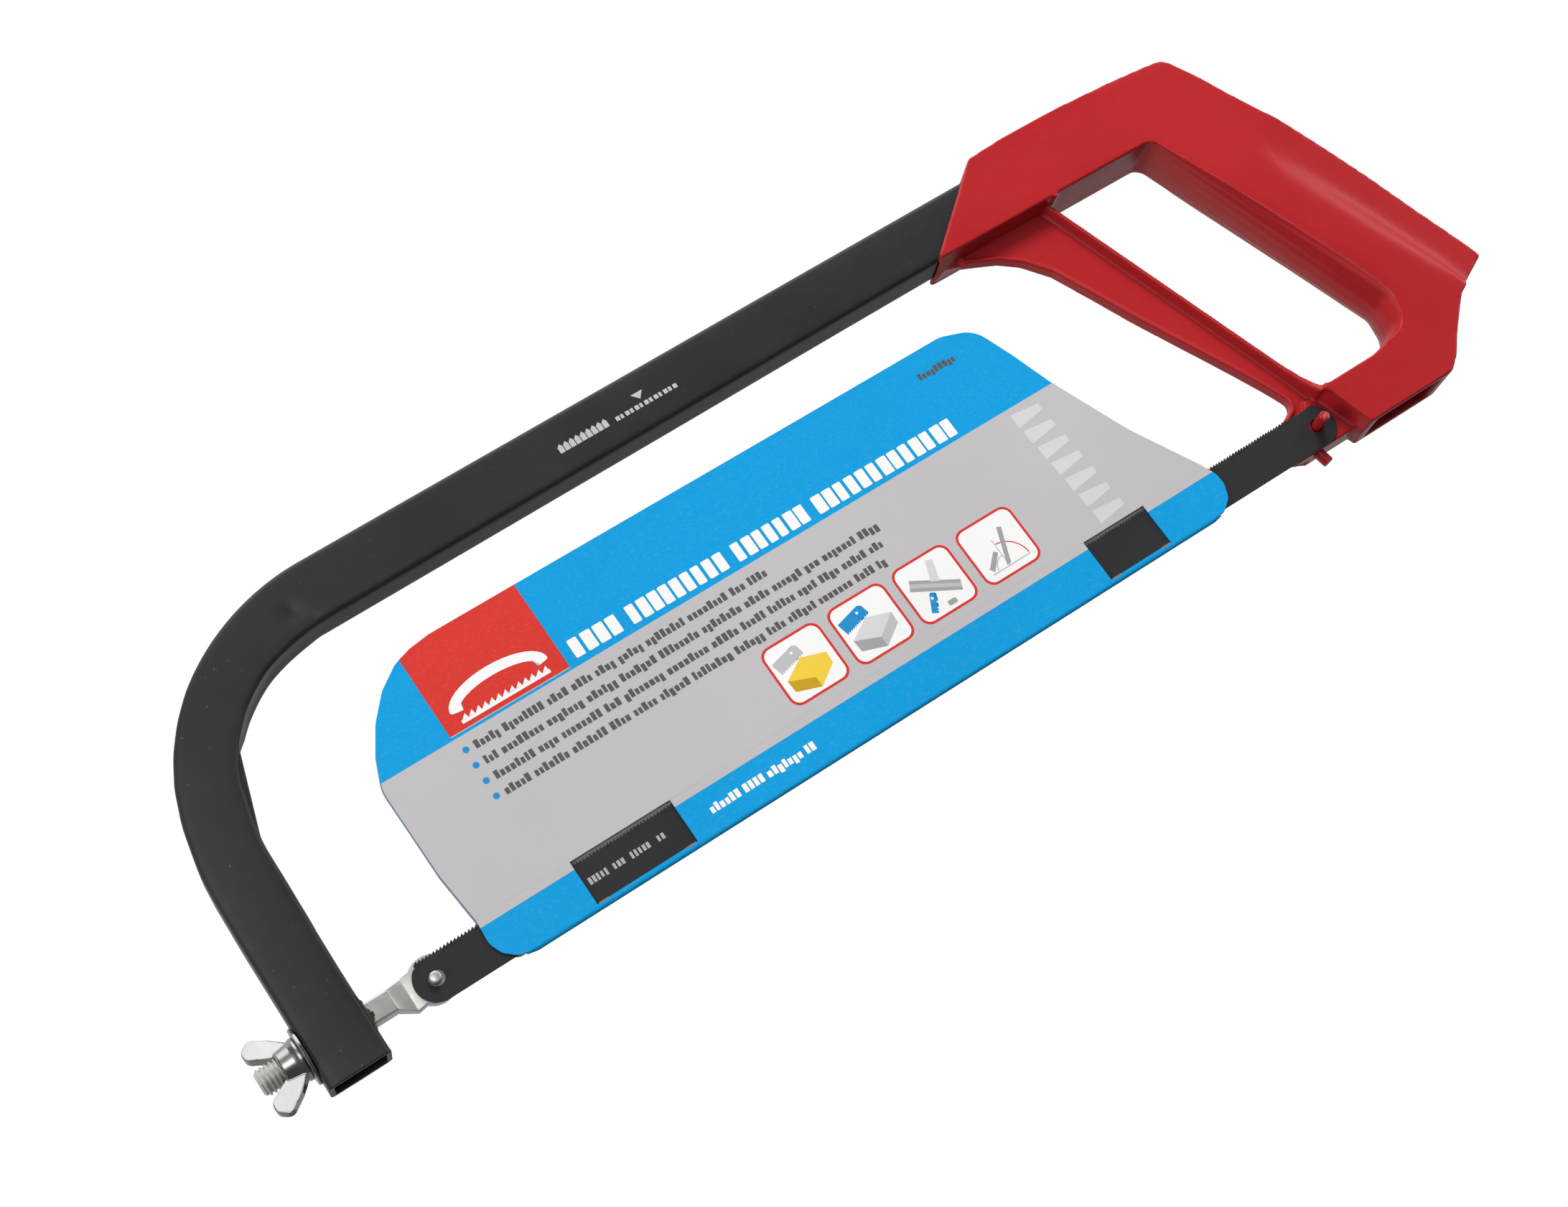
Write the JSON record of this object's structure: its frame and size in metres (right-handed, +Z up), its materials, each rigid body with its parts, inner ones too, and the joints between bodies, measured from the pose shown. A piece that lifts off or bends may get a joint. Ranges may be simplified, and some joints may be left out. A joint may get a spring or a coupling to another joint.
{
  "type": "hacksaw",
  "caption": "Hacksaw with a bent rectangular-tube frame, cast D-handle, blade hung on pins, sliding tension bolt with wing nut, and a folded card sleeve round the blade.",
  "frame": {"origin": "middle of the flat face at the top of the finger opening, by which the saw hangs, on the mid-plane of the frame", "axes": "+X along the blade from the wing nut to the handle, +Z up towards the frame tube, +Y away from the side the blade lies on"},
  "size_m": [0.4327, 0.02, 0.1363],
  "materials": {
    "tube_paint": "satin black powder coat",
    "handle_paint": "satin red paint on a die casting",
    "bright_steel": "bright plated forging",
    "blade_paint": "thin black paint on spring steel",
    "zinc_plate": "bright zinc plate",
    "printed_card": "coated board printed blue and grey with a red block"
  },
  "bodies": {
    "frame": {"frame_tube": "tube_paint", "handle": "handle_paint", "handle_pin": "bright_steel", "side_blade_pin": "handle_paint", "lower_blade_pin": "handle_paint"},
    "bolt": {"tension_bolt": "bright_steel", "front_blade_pin": "bright_steel"},
    "washer": {"washer": "zinc_plate"},
    "wing_nut": {"wing_nut": "zinc_plate"},
    "blade": {"blade": "blade_paint"},
    "card": {"card_sleeve": "printed_card"}
  },
  "joints": [
    {"name": "wing_nut_turn", "type": "hinge", "parent": "frame", "child": "wing_nut", "pos_m": [-0.3335, 0, -0.0996], "axis": [-1, 0, 0], "range_deg": [0, 252]},
    {"name": "tension_slide", "type": "slide", "parent": "frame", "child": "bolt", "axis": [1, 0, 0], "range_m": [0, 0.0009]},
    {"name": "washer_spin", "type": "hinge", "parent": "frame", "child": "washer", "pos_m": [-0.3296, 0, -0.0996], "axis": [1, 0, 0], "continuous": true},
    {"name": "blade_lift", "type": "slide", "parent": "frame", "child": "blade", "axis": [0, -1, 0], "range_m": [0, 0.02]},
    {"name": "card_slide", "type": "slide", "parent": "blade", "child": "card", "axis": [1, 0, 0], "range_m": [-0.006, 0.012]}
  ],
  "couplings": [
    {"joint": "tension_slide", "follows": "wing_nut_turn", "m_per_rad": 0.00019894}
  ]
}
